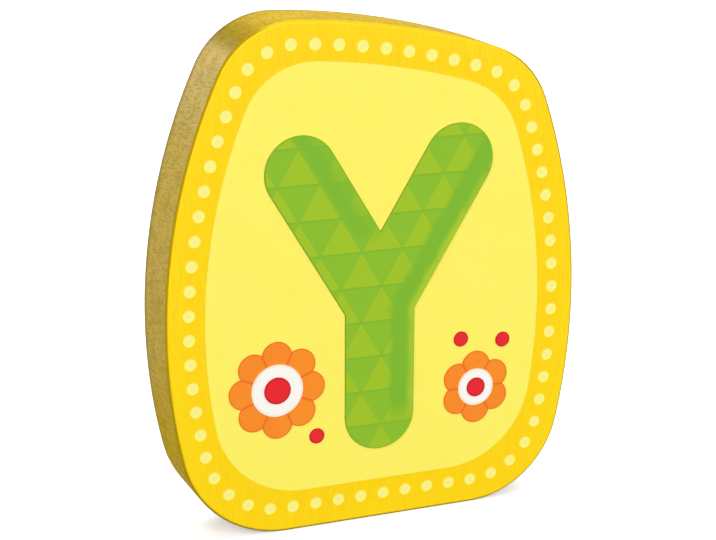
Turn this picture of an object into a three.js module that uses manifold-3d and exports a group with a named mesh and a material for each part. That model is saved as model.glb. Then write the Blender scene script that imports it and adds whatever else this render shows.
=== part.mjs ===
// Wooden alphabet tile: a solid wood board that stands on its flat foot, with a printed face.
// Millimetres, +Z up. The printed face looks along -Y, and +X is to the reader's right.
// The origin is the middle of the tile's box, at the foot.

import * as THREE from "three";
import { mergeVertices } from "three/addons/utils/BufferGeometryUtils.js";
import Module from "manifold-3d";

const wasm = await Module();
wasm.setup();

// The board's outline: a flat foot and three swelling sides, each an arc of one circle
const boardWidth = 60.1;
const boardThickness = 9.8;
const leftRadius = 80.3;
const leftWidestHeight = 29.8;
const rightRadius = 85.3;
const rightWidestHeight = 29;
const crownHeight = 69.55; // top edge, above the middle of the foot
const crownRadius = 105.3;
const crownTilt = 8.45; // degrees that the top edge falls towards the right
const boardCorners = { topLeft: 11.5, topRight: 12.35, bottomRight: 13.75, bottomLeft: 14.95 };
const edgeRound = 0.25;

// The printed face: every colour is one film of lacquer, laid on the one below it
const filmThickness = 0.08;

// The border band, with its row of round dots left open
const dotDiameter = 1.68;
const dotGap = 1.68; // between neighbouring dots
const dotOuterMargin = 2.45; // board edge to dots
const dotInnerMargin = 1.4; // dots to centre panel
const firstDotOffset = 1.44; // from the left end of the straight stretch along the foot
const dotCorners = { topLeft: 8.4, topRight: 9.2, bottomRight: 10.1, bottomLeft: 11.2 };
const panelInset = dotOuterMargin + dotDiameter + dotInnerMargin;
const printShift = { x: -0.13, y: 0.2 }; // the dots and the panel sit a little off the middle
const panelCorners = { topLeft: 10, topRight: 10.9, bottomRight: 12.6, bottomLeft: 12.7 };

// The letter: three strokes with round ends that meet at the fork
const strokeWidth = 10.25;
const armLength = 22; // fork to the middle of the round end
const armSplay = 31.3; // degrees from upright
const stemLength = 16.2;
const forkHeight = 31.6;
const letterShift = 0.32; // to the right of the board's middle

// The letter's pattern of triangles, left open in its darker film
const facetWidth = 6; // from one triangle to the next in its row
const facetHeight = 4.98; // from one row to the next
const facetLine = 0.24; // darker line between neighbouring triangles
const facetRise = 2.25; // apex of the middle triangle, above the fork
const facetShift = 0.21; // the pattern's middle, to the right of the letter's
const letterRim = 0.2; // darker line along the letter's edge
const smallestFacet = 0.6; // square millimetres

// The ornament: a flower on each side of the stem, with loose berries
const leftFlower = { height: 20.7, reach: 6.9, notch: 5.6, disc: 3.7, heart: 1.9 };
const leftPetals = 8;
const rightFlower = { height: 17.4, reach: 5.3, notch: 4.2, disc: 2.7, heart: 1.4 };
const rightPetals = 6;
const berryRadius = 1.1;
const berryGap = 1.3; // berry to petal tips
const leftBerryAngles = [-52];
const rightBerryAngles = [58, 108];

// Fineness of the round stretches, and the distance at which two points count as one
const arcSteps = 6;
const edgeSteps = 2;
const samePoint = 1e-4;

const radians = THREE.MathUtils.degToRad;
const point = (x, y) => new THREE.Vector2(x, y);

// Materials
const lacquer = (color) => new THREE.MeshStandardMaterial({ color, roughness: 0.42, metalness: 0 });
const wood = new THREE.MeshStandardMaterial({ color: 0xc2a157, roughness: 0.62, metalness: 0 });
const cream = lacquer(0xf8f290);
const gold = lacquer(0xffd418);
const lemon = lacquer(0xfff268);
const lightGreen = lacquer(0xa3c92e);
const leafGreen = lacquer(0x7fbb34);
const orange = lacquer(0xf58428);
const white = lacquer(0xfffbf6);
const red = lacquer(0xe2202d);

// Layers of the print, counted outwards from the wood
const layer = { base: 0, ground: 1, motif: 2, pattern: 3, heart: 4 };
const layerCount = Object.keys(layer).length;
const tileThickness = boardThickness + layerCount * filmThickness;

// The tile lies in its own frame while it is built: x right, y up, z from the back to the reader
const tile = new THREE.Group();
tile.rotation.x = Math.PI / 2;
tile.position.y = tileThickness / 2;

function addPiece(name, geometry, material, depth) {
  const mesh = new THREE.Mesh(geometry, material);
  mesh.name = name;
  mesh.position.z = depth;
  tile.add(mesh);
}

function addFilm(name, shape, material, layerNumber) {
  const geometry = new THREE.ExtrudeGeometry(shape, {
    depth: filmThickness,
    bevelEnabled: false,
    curveSegments: arcSteps,
  });
  addPiece(name, geometry, material, boardThickness + layerNumber * filmThickness);
}

// Points along a closed path, without the doubled ones where two of its stretches meet
function pointsAlong(path) {
  const points = path.getPoints(arcSteps);
  return points.filter((here, i) => here.distanceTo(points[(i + 1) % points.length]) > samePoint);
}

// The three round sides as circles that the outline follows from inside
const sides = {
  left: { centre: point(leftRadius - boardWidth / 2, leftWidestHeight), radius: leftRadius },
  right: { centre: point(boardWidth / 2 - rightRadius, rightWidestHeight), radius: rightRadius },
  top: {
    centre: point(
      -crownRadius * Math.sin(radians(crownTilt)),
      crownHeight - crownRadius * Math.cos(radians(crownTilt)),
    ),
    radius: crownRadius,
  },
};

// Centre of the corner arc that touches two round sides from inside; away points to the corner
function cornerCentre(first, second, inset, radius, away) {
  const reachFirst = first.radius - inset - radius;
  const reachSecond = second.radius - inset - radius;
  const between = second.centre.clone().sub(first.centre);
  const distance = between.length();
  const along = (distance ** 2 + reachFirst ** 2 - reachSecond ** 2) / (2 * distance);
  const across = Math.sqrt(reachFirst ** 2 - along ** 2);
  const direction = between.divideScalar(distance);
  const normal = point(-direction.y, direction.x);
  const sign = Math.sign(normal.dot(away));
  return first.centre.clone().addScaledVector(direction, along).addScaledVector(normal, sign * across);
}

// Centre of the corner arc that touches the foot and one round side
function footCornerCentre(side, inset, radius, direction) {
  const height = inset + radius;
  const reach = side.radius - inset - radius;
  const across = Math.sqrt(reach ** 2 - (height - side.centre.y) ** 2);
  return point(side.centre.x + direction * across, height);
}

const angleFrom = (side, corner) => corner.clone().sub(side.centre).angle();

// The board's outline moved inwards by an inset, with its own corner radii
function outlinePath(inset, corners) {
  const { left, right, top } = sides;
  const topLeft = cornerCentre(left, top, inset, corners.topLeft, point(-1, 1));
  const topRight = cornerCentre(right, top, inset, corners.topRight, point(1, 1));
  const bottomRight = footCornerCentre(right, inset, corners.bottomRight, 1);
  const bottomLeft = footCornerCentre(left, inset, corners.bottomLeft, -1);
  const fullTurn = 2 * Math.PI;
  const lowRight = angleFrom(right, bottomRight) - fullTurn;
  const highRight = angleFrom(right, topRight);
  const topEnd = angleFrom(top, topRight);
  const topStart = angleFrom(top, topLeft);
  const highLeft = angleFrom(left, topLeft);
  const lowLeft = angleFrom(left, bottomLeft);

  const path = new THREE.Path();
  path.moveTo(bottomLeft.x, inset);
  path.lineTo(bottomRight.x, inset);
  path.absarc(bottomRight.x, bottomRight.y, corners.bottomRight, -Math.PI / 2, lowRight);
  path.absarc(right.centre.x, right.centre.y, right.radius - inset, lowRight, highRight);
  path.absarc(topRight.x, topRight.y, corners.topRight, highRight, topEnd);
  path.absarc(top.centre.x, top.centre.y, top.radius - inset, topEnd, topStart);
  path.absarc(topLeft.x, topLeft.y, corners.topLeft, topStart, highLeft);
  path.absarc(left.centre.x, left.centre.y, left.radius - inset, highLeft, lowLeft);
  path.absarc(bottomLeft.x, bottomLeft.y, corners.bottomLeft, lowLeft, 1.5 * Math.PI);
  return path;
}

// Corner radii of a line that runs parallel to the board's edge
function parallelCorners(inset) {
  const entries = Object.entries(boardCorners).map(([corner, radius]) => [corner, radius - inset]);
  return Object.fromEntries(entries);
}

// A point of the dots or the panel, moved with the print
const onPrint = (place) => point(place.x + printShift.x, place.y + printShift.y);

const edgeOutline = (inset) => pointsAlong(outlinePath(inset, parallelCorners(inset)));

// The board, with its edges eased all round on both faces
function addBoard() {
  const geometry = new THREE.ExtrudeGeometry(new THREE.Shape(edgeOutline(0)), {
    depth: boardThickness - 2 * edgeRound,
    bevelThickness: edgeRound,
    bevelSize: edgeRound,
    bevelOffset: -edgeRound,
    bevelSegments: edgeSteps,
  });
  addPiece("board", geometry, wood, edgeRound);
}

// The print's ground: a cream base coat, the golden band with its dots, and the lemon panel
function addGround() {
  const printedFace = edgeOutline(edgeRound);
  const panel = pointsAlong(outlinePath(panelInset, panelCorners)).map(onPrint);
  const band = new THREE.Shape(printedFace);
  band.holes.push(new THREE.Path(panel));
  for (const dot of dotCentres()) {
    band.holes.push(new THREE.Path().absarc(dot.x, dot.y, dotDiameter / 2, 0, 2 * Math.PI));
  }
  addFilm("base_coat", new THREE.Shape(printedFace), cream, layer.base);
  addFilm("border_band", band, gold, layer.ground);
  addFilm("centre_panel", new THREE.Shape(panel), lemon, layer.ground);
}

// Dots at even steps along a line that follows the board's sides, with its own corners
function dotCentres() {
  const inset = dotOuterMargin + dotDiameter / 2;
  const line = outlinePath(inset, dotCorners);
  const length = line.getLength();
  const count = Math.round(length / (dotDiameter + dotGap));
  const along = (i) => (firstDotOffset / length + i / count) % 1;
  return Array.from({ length: count }, (_, i) => onPrint(line.getPointAt(along(i))));
}

// Outline of the letter, drawn thinner all round by an inset
function letterShape(inset) {
  const half = strokeWidth / 2 - inset;
  const splay = radians(armSplay);
  const armX = armLength * Math.sin(splay);
  const armY = forkHeight + armLength * Math.cos(splay);
  const footY = forkHeight - stemLength;
  const crotch = forkHeight + half / Math.sin(splay);
  const shoulder = forkHeight - half * Math.tan(splay / 2);
  const x = letterShift;

  const path = new THREE.Path();
  path.moveTo(x - half, shoulder);
  path.lineTo(x - half, footY);
  path.absarc(x, footY, half, Math.PI, 2 * Math.PI);
  path.lineTo(x + half, shoulder);
  path.absarc(x + armX, armY, half, -splay, Math.PI - splay);
  path.lineTo(x, crotch);
  path.absarc(x - armX, armY, half, splay, Math.PI + splay);
  path.closePath();
  return new THREE.Shape(pointsAlong(path));
}

function solidFrom(shape, depth) {
  const geometry = new THREE.ExtrudeGeometry(shape, { depth, bevelEnabled: false });
  geometry.deleteAttribute("normal");
  geometry.deleteAttribute("uv");
  const merged = mergeVertices(geometry);
  const vertProperties = merged.getAttribute("position").array;
  const triVerts = Uint32Array.from(merged.getIndex().array);
  return new wasm.Manifold(new wasm.Mesh({ numProp: 3, vertProperties, triVerts }));
}

function geometryFrom(solid) {
  const { vertProperties, triVerts } = solid.getMesh();
  const geometry = new THREE.BufferGeometry();
  geometry.setAttribute("position", new THREE.BufferAttribute(vertProperties, 3));
  geometry.setIndex(new THREE.BufferAttribute(triVerts, 1));
  geometry.computeVertexNormals();
  return geometry;
}

// An upright triangle, apex up, drawn smaller so that a line stays open around it
function facetShape(apexX, apexY) {
  const halfApex = Math.atan2(facetWidth / 2, facetHeight);
  const top = apexY - facetLine / 2 / Math.sin(halfApex);
  const base = apexY - facetHeight + facetLine / 2;
  const halfBase = (top - base) * Math.tan(halfApex);
  return new THREE.Shape([
    point(apexX, top),
    point(apexX - halfBase, base),
    point(apexX + halfBase, base),
  ]);
}

// Apexes of the triangles in rows, every other row moved half a width along
function facetApexes() {
  const middle = forkHeight + facetRise;
  const reach = armLength + strokeWidth;
  const rowsUp = Math.ceil((reach - facetRise) / facetHeight) + 1;
  const rowsDown = Math.ceil((stemLength + strokeWidth + facetRise) / facetHeight);
  const across = Math.ceil(reach / facetWidth) + 1;
  const apexes = [];
  for (let row = -rowsDown; row <= rowsUp; row += 1) {
    const start = letterShift + facetShift + (Math.abs(row) % 2) * (facetWidth / 2);
    for (let step = -across; step <= across; step += 1) {
      apexes.push(point(start + step * facetWidth, middle + row * facetHeight));
    }
  }
  return apexes;
}

// The letter in light green, and over it a darker film that is open at every light triangle
function addLetter() {
  addFilm("letter", letterShape(0), lightGreen, layer.motif);
  const inner = solidFrom(letterShape(letterRim), filmThickness);
  let film = solidFrom(letterShape(0), filmThickness);
  for (const apex of facetApexes()) {
    const facet = solidFrom(facetShape(apex.x, apex.y), filmThickness).intersect(inner);
    if (facet.volume() > smallestFacet * filmThickness) {
      film = film.subtract(facet);
    }
  }
  const depth = boardThickness + layer.pattern * filmThickness;
  addPiece("letter_lattice", geometryFrom(film), leafGreen, depth);
}

// Outline of round petals that meet in notches, about a centre
function petalShape(centre, count, reach, notch) {
  const halfAngle = Math.PI / count;
  const ring = (reach ** 2 - notch ** 2) / (2 * (reach - notch * Math.cos(halfAngle)));
  const radius = reach - ring;
  const sweep = Math.atan2(notch * Math.sin(halfAngle), notch * Math.cos(halfAngle) - ring);
  const path = new THREE.Path();
  for (let i = 0; i < count; i += 1) {
    const angle = Math.PI / 2 + 2 * halfAngle * i;
    const x = centre.x + ring * Math.cos(angle);
    const y = centre.y + ring * Math.sin(angle);
    path.absarc(x, y, radius, angle - sweep, angle + sweep);
  }
  return new THREE.Shape(pointsAlong(path));
}

function discShape(centre, radius) {
  return new THREE.Shape().absarc(centre.x, centre.y, radius, 0, 2 * Math.PI);
}

// Middle of a flower, midway from the stem to the border; direction is -1 on the left, 1 on the right
function flowerCentre(flower, direction) {
  const stemEdge = letterShift + direction * (strokeWidth / 2);
  const panelEdge = direction * (boardWidth / 2 - panelInset);
  return point((stemEdge + panelEdge) / 2, flower.height);
}

function addFlower(name, centre, flower, petals) {
  addFilm(`${name}_petals`, petalShape(centre, petals, flower.reach, flower.notch), orange, layer.motif);
  addFilm(`${name}_disc`, discShape(centre, flower.disc), white, layer.pattern);
  addFilm(`${name}_heart`, discShape(centre, flower.heart), red, layer.heart);
}

// Berries that lie around a flower at the given angles
function addBerries(name, centre, flower, angles) {
  const distance = flower.reach + berryGap + berryRadius;
  angles.forEach((angle, i) => {
    const x = centre.x + distance * Math.cos(radians(angle));
    const y = centre.y + distance * Math.sin(radians(angle));
    addFilm(`${name}_berry_${i + 1}`, discShape(point(x, y), berryRadius), red, layer.motif);
  });
}

function addOrnament() {
  const left = flowerCentre(leftFlower, -1);
  const right = flowerCentre(rightFlower, 1);
  addFlower("left_flower", left, leftFlower, leftPetals);
  addFlower("right_flower", right, rightFlower, rightPetals);
  addBerries("left", left, leftFlower, leftBerryAngles);
  addBerries("right", right, rightFlower, rightBerryAngles);
}

addBoard();
addGround();
addLetter();
addOrnament();

const group = new THREE.Group();
group.name = "wooden_letter";
group.add(tile);

export default group;
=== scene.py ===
"""Looks of a wooden alphabet tile that stands on its flat foot.

A board of stained wood carries a printed face: a cream base coat that shows as dots, a golden
border, a lemon panel, a green letter with a pattern of triangles, and flowers with berries.
Pieces are drawn in millimetres as outlines that face the reader, and are handed over in metres.
"""

from __future__ import annotations

import logging
import math
from abc import ABC, abstractmethod
from collections.abc import Callable, Iterable, Mapping, Sequence
from dataclasses import dataclass, field
from enum import Enum

import bmesh
import bpy
from mathutils import Matrix, Vector

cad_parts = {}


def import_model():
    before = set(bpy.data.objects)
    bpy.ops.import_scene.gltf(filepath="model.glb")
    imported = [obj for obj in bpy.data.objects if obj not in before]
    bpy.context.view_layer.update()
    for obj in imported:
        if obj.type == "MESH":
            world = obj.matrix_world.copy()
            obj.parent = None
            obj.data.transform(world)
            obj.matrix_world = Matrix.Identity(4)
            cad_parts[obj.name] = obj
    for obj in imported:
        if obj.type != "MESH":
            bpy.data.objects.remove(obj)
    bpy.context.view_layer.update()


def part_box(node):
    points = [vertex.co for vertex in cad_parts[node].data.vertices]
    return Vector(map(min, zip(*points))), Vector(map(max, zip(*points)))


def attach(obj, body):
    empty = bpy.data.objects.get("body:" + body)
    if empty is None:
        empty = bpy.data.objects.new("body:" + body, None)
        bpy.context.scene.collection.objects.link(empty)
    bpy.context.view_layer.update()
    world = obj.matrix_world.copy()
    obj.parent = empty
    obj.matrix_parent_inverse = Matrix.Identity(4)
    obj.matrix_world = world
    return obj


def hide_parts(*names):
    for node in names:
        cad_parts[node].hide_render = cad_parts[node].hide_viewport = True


LOG = logging.getLogger("wooden_letter")

MM = 0.001
PER_MM = 1000.0
FULL_TURN = 2.0 * math.pi
HALF_TURN = math.pi
QUARTER_TURN = 0.5 * math.pi
SAME_POINT = 0.002
READER_SIDE = -0.5

Colour = tuple[float, float, float, float]
Triple = tuple[float, float, float]
Span = tuple[float, float]
Socket = bpy.types.NodeSocket
Feed = Socket | float | tuple[float, ...]

PURE_WHITE: Colour = (1.0, 1.0, 1.0, 1.0)


def linear(red: int, green: int, blue: int) -> Colour:
    """Gives the light values of a colour that is written as display values.

    Args:
        red: Display value from 0 to 255.
        green: Display value from 0 to 255.
        blue: Display value from 0 to 255.

    Returns:
        Linear red, green, blue and an alpha of one.
    """

    def channel(value: int) -> float:
        """Gives one channel's light value."""
        share = value / 255.0
        return share / 12.92 if share <= 0.04045 else ((share + 0.055) / 1.055) ** 2.4

    return channel(red), channel(green), channel(blue), 1.0


# Outlines


class Hand(Enum):
    """The two hands of the tile, as the reader sees them."""

    LEFT = "left"
    RIGHT = "right"

    @property
    def way(self) -> float:
        """Minus one on the left and one on the right."""
        return 1.0 if self is Hand.RIGHT else -1.0


def toward(angle: float) -> Vector:
    """Gives the direction at an angle, anticlockwise from the right."""
    return Vector((math.cos(angle), math.sin(angle)))


@dataclass(frozen=True)
class Straight:
    """A straight stretch of an outline, in millimetres."""

    start: Vector
    end: Vector

    @property
    def length(self) -> float:
        """Length of the stretch."""
        return (self.end - self.start).length

    def at(self, distance: float) -> Vector:
        """Point at a distance from the start."""
        return self.start.lerp(self.end, distance / self.length)

    def pull(self, depth: float) -> None:
        """Extrudes the selected point along the stretch, in the plane at a depth."""
        way = self.end - self.start
        bpy.ops.mesh.extrude_region_move(TRANSFORM_OT_translate={"value": (way.x, 0.0, way.y)})


@dataclass(frozen=True)
class Bow:
    """A stretch of an outline along a circle, anticlockwise as the reader sees it."""

    centre: Vector
    radius: float
    first: float
    last: float
    finest: float = 0.9
    coarsest: float = math.radians(6.0)
    fewest_steps: int = 4
    most_steps: int = 72

    @property
    def length(self) -> float:
        """Length of the stretch."""
        return self.radius * (self.last - self.first)

    @property
    def steps(self) -> int:
        """Number of straight steps that draw the bow.

        Returns:
            The number, from the bow's length and its angle.
        """
        by_length = self.length / self.finest
        by_angle = (self.last - self.first) / self.coarsest
        wanted = min(max(by_length, by_angle), self.most_steps)
        return max(self.fewest_steps, math.ceil(wanted))

    def at(self, distance: float) -> Vector:
        """Point at a distance from the start."""
        return self.centre + self.radius * toward(self.first + distance / self.radius)

    def pull(self, depth: float) -> None:
        """Spins the selected point along the bow, in the plane at a depth."""
        bpy.ops.mesh.spin(
            steps=self.steps,
            angle=self.last - self.first,
            center=(self.centre.x, depth, self.centre.y),
            axis=(0.0, 1.0, 0.0),
        )


Stretch = Straight | Bow


def circle(centre: Vector, radius: float) -> list[Stretch]:
    """Gives a whole circle as an outline of one bow."""
    return [Bow(centre, radius, 0.0, FULL_TURN)]


@dataclass(frozen=True)
class Corners:
    """Radii of the four round corners, in millimetres."""

    top_left: float
    top_right: float
    bottom_right: float
    bottom_left: float

    def inward(self, inset: float) -> Corners:
        """Gives the radii of a line that runs parallel, further in."""
        return Corners(
            self.top_left - inset,
            self.top_right - inset,
            self.bottom_right - inset,
            self.bottom_left - inset,
        )


@dataclass(frozen=True)
class Side:
    """One swelling side of the tile: the circle that it follows from inside."""

    centre: Vector
    radius: float

    def angle_to(self, point: Vector) -> float:
        """Angle from the circle's centre to a point."""
        way = point - self.centre
        return math.atan2(way.y, way.x)


@dataclass(frozen=True)
class TileOutline:
    """The tile's outline: a flat foot, three swelling sides and four round corners."""

    width: float = 60.1
    left_radius: float = 80.3
    left_widest_height: float = 29.8
    right_radius: float = 85.3
    right_widest_height: float = 29.0
    crown_height: float = 69.55
    crown_radius: float = 105.3
    crown_tilt: float = math.radians(8.45)
    corners: Corners = Corners(11.5, 12.35, 13.75, 14.95)

    @property
    def left(self) -> Side:
        """The left side."""
        centre = Vector((self.left_radius - self.width / 2, self.left_widest_height))
        return Side(centre, self.left_radius)

    @property
    def right(self) -> Side:
        """The right side."""
        centre = Vector((self.width / 2 - self.right_radius, self.right_widest_height))
        return Side(centre, self.right_radius)

    @property
    def top(self) -> Side:
        """The top side, which falls towards the right.

        Returns:
            The side.
        """
        across = -self.crown_radius * math.sin(self.crown_tilt)
        height = self.crown_height - self.crown_radius * math.cos(self.crown_tilt)
        return Side(Vector((across, height)), self.crown_radius)

    @staticmethod
    def corner_centre(first: Side, second: Side, gap: float, outward: Vector) -> Vector:
        """Finds the centre of a corner that touches two sides from inside.

        Args:
            first: One side.
            second: The other side.
            gap: Distance of the centre from both sides.
            outward: Rough direction to the corner.

        Returns:
            The centre, in millimetres.
        """
        reach_first = first.radius - gap
        reach_second = second.radius - gap
        between = second.centre - first.centre
        distance = between.length
        along = (distance**2 + reach_first**2 - reach_second**2) / (2.0 * distance)
        across = math.sqrt(reach_first**2 - along**2)
        direction = between / distance
        normal = Vector((-direction.y, direction.x))
        if normal.dot(outward) < 0.0:
            normal.negate()
        return first.centre + direction * along + normal * across

    @staticmethod
    def foot_corner_centre(side: Side, gap: float, hand: Hand) -> Vector:
        """Finds the centre of a corner that touches the foot and one side.

        Args:
            side: The side.
            gap: Distance of the centre from the side and the foot.
            hand: Which end of the foot.

        Returns:
            The centre, in millimetres.
        """
        reach = side.radius - gap
        across = math.sqrt(reach**2 - (gap - side.centre.y) ** 2)
        return Vector((side.centre.x + hand.way * across, gap))

    def stretches(
        self, inset: float, corners: Corners | None = None, shift: Vector | None = None
    ) -> list[Stretch]:
        """Gives the outline moved inwards.

        Args:
            inset: Distance inwards from the board's edge, in millimetres.
            corners: Corner radii, or None for a line parallel to the edge.
            shift: How far the line sits off the board's middle, or None.

        Returns:
            Stretches from the left end of the foot, anticlockwise.
        """
        radii = corners or self.corners.inward(inset)
        left, right, top = self.left, self.right, self.top
        upper_left = self.corner_centre(left, top, inset + radii.top_left, Vector((-1, 1)))
        upper_right = self.corner_centre(right, top, inset + radii.top_right, Vector((1, 1)))
        lower_right = self.foot_corner_centre(right, inset + radii.bottom_right, Hand.RIGHT)
        lower_left = self.foot_corner_centre(left, inset + radii.bottom_left, Hand.LEFT)
        low_right, high_right = right.angle_to(lower_right), right.angle_to(upper_right)
        top_end, top_start = top.angle_to(upper_right), top.angle_to(upper_left)
        high_left = left.angle_to(upper_left) % FULL_TURN
        low_left = left.angle_to(lower_left) % FULL_TURN
        off = shift or Vector((0.0, 0.0))
        left_end, right_end = Vector((lower_left.x, inset)), Vector((lower_right.x, inset))
        return [
            Straight(left_end + off, right_end + off),
            Bow(lower_right + off, radii.bottom_right, -QUARTER_TURN, low_right),
            Bow(right.centre + off, right.radius - inset, low_right, high_right),
            Bow(upper_right + off, radii.top_right, high_right, top_end),
            Bow(top.centre + off, top.radius - inset, top_end, top_start),
            Bow(upper_left + off, radii.top_left, top_start, high_left),
            Bow(left.centre + off, left.radius - inset, high_left, low_left),
            Bow(lower_left + off, radii.bottom_left, low_left, 1.5 * HALF_TURN),
        ]


def points_along(stretches: Sequence[Stretch], offset: float, pitch: float) -> list[Vector]:
    """Spaces points evenly along a closed outline.

    Args:
        stretches: The outline.
        offset: Distance of the first point from the outline's start.
        pitch: Wanted distance between points, which is fitted to a whole number.

    Returns:
        The points, in order.
    """
    total = sum(stretch.length for stretch in stretches)
    count = round(total / pitch)
    points = []
    for index in range(count):
        distance = (offset + index * total / count) % total
        for stretch in stretches:
            if distance <= stretch.length:
                points.append(stretch.at(distance))
                break
            distance -= stretch.length
    return points


# The modelling bench


class Overlap(Enum):
    """What a cut does with the part that two pieces share."""

    REMOVE = "DIFFERENCE"
    KEEP = "INTERSECT"


def faces_reader(face: bmesh.types.BMFace) -> bool:
    """Tells whether a face looks at the reader."""
    return face.normal.y < READER_SIDE


class Bench:
    """One piece on the bench: a mesh that is drawn in edit mode, in millimetres."""

    smooth_angle = math.radians(32.0)
    sharp_angle = math.radians(50.0)
    seed_size = 0.01

    def __init__(self, name: str) -> None:
        """Starts an empty piece.

        Args:
            name: Name of the piece.
        """
        bpy.ops.object.select_all(action="DESELECT")
        bpy.ops.mesh.primitive_plane_add(size=self.seed_size)
        self.piece: bpy.types.Object = bpy.context.object
        self.piece.name = self.piece.data.name = name
        bpy.ops.object.mode_set(mode="EDIT")
        bpy.ops.mesh.select_all(action="SELECT")
        bpy.ops.mesh.delete(type="VERT")

    @classmethod
    def sheet(cls, name: str, stretches: Iterable[Stretch], depth: float) -> Bench:
        """Starts a piece as a flat sheet that looks at the reader.

        Args:
            name: Name of the piece.
            stretches: The sheet's outline.
            depth: Place of its plane along Y.

        Returns:
            The sheet, in edit mode.
        """
        bench = cls(name)
        bench.draw(stretches, depth)
        bench.fill()
        return bench

    @property
    def shape(self) -> bmesh.types.BMesh:
        """The mesh that is being edited."""
        return bmesh.from_edit_mesh(self.piece.data)

    def take(self) -> None:
        """Leaves edit mode and selects this piece alone."""
        if bpy.context.mode != "OBJECT":
            bpy.ops.object.mode_set(mode="OBJECT")
        bpy.ops.object.select_all(action="DESELECT")
        self.piece.select_set(True)
        bpy.context.view_layer.objects.active = self.piece

    def edit(self) -> None:
        """Goes into edit mode with everything selected."""
        self.take()
        bpy.ops.object.mode_set(mode="EDIT")
        bpy.ops.mesh.select_mode(type="VERT")
        bpy.ops.mesh.select_all(action="SELECT")

    def draw(self, stretches: Iterable[Stretch], depth: float) -> None:
        """Draws a closed outline by pulling a point along it.

        Args:
            stretches: The outline.
            depth: Place of its plane along Y.
        """
        bpy.ops.mesh.select_mode(type="VERT")
        outline = list(stretches)
        start = outline[0].at(0.0)
        place = (start.x, depth, start.y)
        bpy.ops.mesh.primitive_plane_add(size=self.seed_size, location=place)
        bpy.ops.mesh.merge(type="CENTER")
        for stretch in outline:
            stretch.pull(depth)
        bpy.ops.mesh.select_all(action="SELECT")
        bpy.ops.mesh.remove_doubles(threshold=SAME_POINT)

    def fill(self) -> None:
        """Closes the only outline with one face that looks at the reader."""
        bpy.ops.mesh.select_all(action="SELECT")
        bpy.ops.mesh.edge_face_add()
        self.face_reader()

    def face_reader(self) -> None:
        """Turns every face of a flat sheet towards the reader."""
        self.pick_faces(lambda face: face.normal.y > 0.0)
        bpy.ops.mesh.flip_normals()
        bpy.ops.mesh.select_all(action="SELECT")

    def pick_faces(self, wanted: Callable[[bmesh.types.BMFace], bool]) -> None:
        """Selects the faces that pass a test, and nothing else.

        Args:
            wanted: The test.
        """
        bpy.ops.mesh.select_mode(type="FACE")
        bpy.ops.mesh.select_all(action="DESELECT")
        for face in filter(wanted, self.shape.faces):
            face.select_set(True)
        bmesh.update_edit_mesh(self.piece.data)

    def pick_edges(self, wanted: Callable[[bmesh.types.BMEdge], bool]) -> None:
        """Selects the edges that pass a test, and nothing else.

        Args:
            wanted: The test.
        """
        bpy.ops.mesh.select_mode(type="EDGE")
        bpy.ops.mesh.select_all(action="DESELECT")
        for edge in filter(wanted, self.shape.edges):
            edge.select_set(True)
        bmesh.update_edit_mesh(self.piece.data)

    def step_in(self, thickness: float, rise: float = 0.0) -> None:
        """Insets the selected face and lifts its new middle towards the reader."""
        bpy.ops.mesh.inset(thickness=thickness, depth=rise, use_even_offset=True)

    def repeat(self, places: Sequence[Vector]) -> None:
        """Copies what is selected from each place to the next.

        Args:
            places: The places, of which the first is already filled.
        """
        for before, after in zip(places, places[1:]):
            way = after - before
            bpy.ops.mesh.duplicate_move(TRANSFORM_OT_translate={"value": (way.x, 0.0, way.y)})

    def rim_line(self, width: float) -> None:
        """Marks a line along the rim of each face.

        Args:
            width: Width of the line.
        """
        bpy.ops.mesh.select_mode(type="FACE")
        bpy.ops.mesh.select_all(action="SELECT")
        bpy.ops.mesh.inset(thickness=width, use_individual=True)
        self.mark("rim", lambda vertex: float(not vertex.select))

    def mark(self, name: str, value: Callable[[bmesh.types.BMVert], float]) -> None:
        """Writes a number on each vertex, for a finish to read.

        Args:
            name: Name of the attribute.
            value: Gives the number for a vertex.
        """
        shape = self.shape
        layer = shape.verts.layers.float.new(name)
        for vertex in shape.verts:
            vertex[layer] = value(vertex)
        bmesh.update_edit_mesh(self.piece.data)

    def modify(self, kind: str, **settings: object) -> None:
        """Adds a modifier, sets it and applies it.

        Args:
            kind: Type of the modifier.
            settings: Its settings.
        """
        self.take()
        modifier = self.piece.modifiers.new(kind.lower(), kind)
        for setting, value in settings.items():
            setattr(modifier, setting, value)
        bpy.ops.object.modifier_apply(modifier=modifier.name)

    def thicken(self, thickness: float) -> None:
        """Gives a sheet its thickness, away from the reader."""
        self.modify("SOLIDIFY", thickness=thickness, offset=-1.0, use_even_offset=True)

    def soften(self, width: float, segments: int = 2) -> None:
        """Rounds the sharp edges."""
        self.modify(
            "BEVEL",
            width=width,
            segments=segments,
            limit_method="ANGLE",
            angle_limit=self.sharp_angle,
            harden_normals=False,
        )

    def combine(self, tool: Bench, overlap: Overlap) -> None:
        """Cuts with another piece, or keeps what both share, and clears that piece away.

        Args:
            tool: The other piece, which is used up.
            overlap: What happens to the part that both share.
        """
        self.modify("BOOLEAN", operation=overlap.value, object=tool.piece, solver="EXACT")
        bpy.data.objects.remove(tool.piece)

    def copy(self, name: str) -> Bench:
        """Gives a copy of the piece, with its own mesh.

        Args:
            name: Name of the copy.

        Returns:
            The copy, out of edit mode.
        """
        twin = Bench(name)
        bpy.ops.object.mode_set(mode="OBJECT")
        twin.piece.data = self.piece.data.copy()
        return twin

    def join(self, other: Bench) -> None:
        """Takes another piece's mesh into this one.

        Args:
            other: The other piece, which is used up.
        """
        self.take()
        other.piece.select_set(True)
        bpy.ops.object.join()

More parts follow.
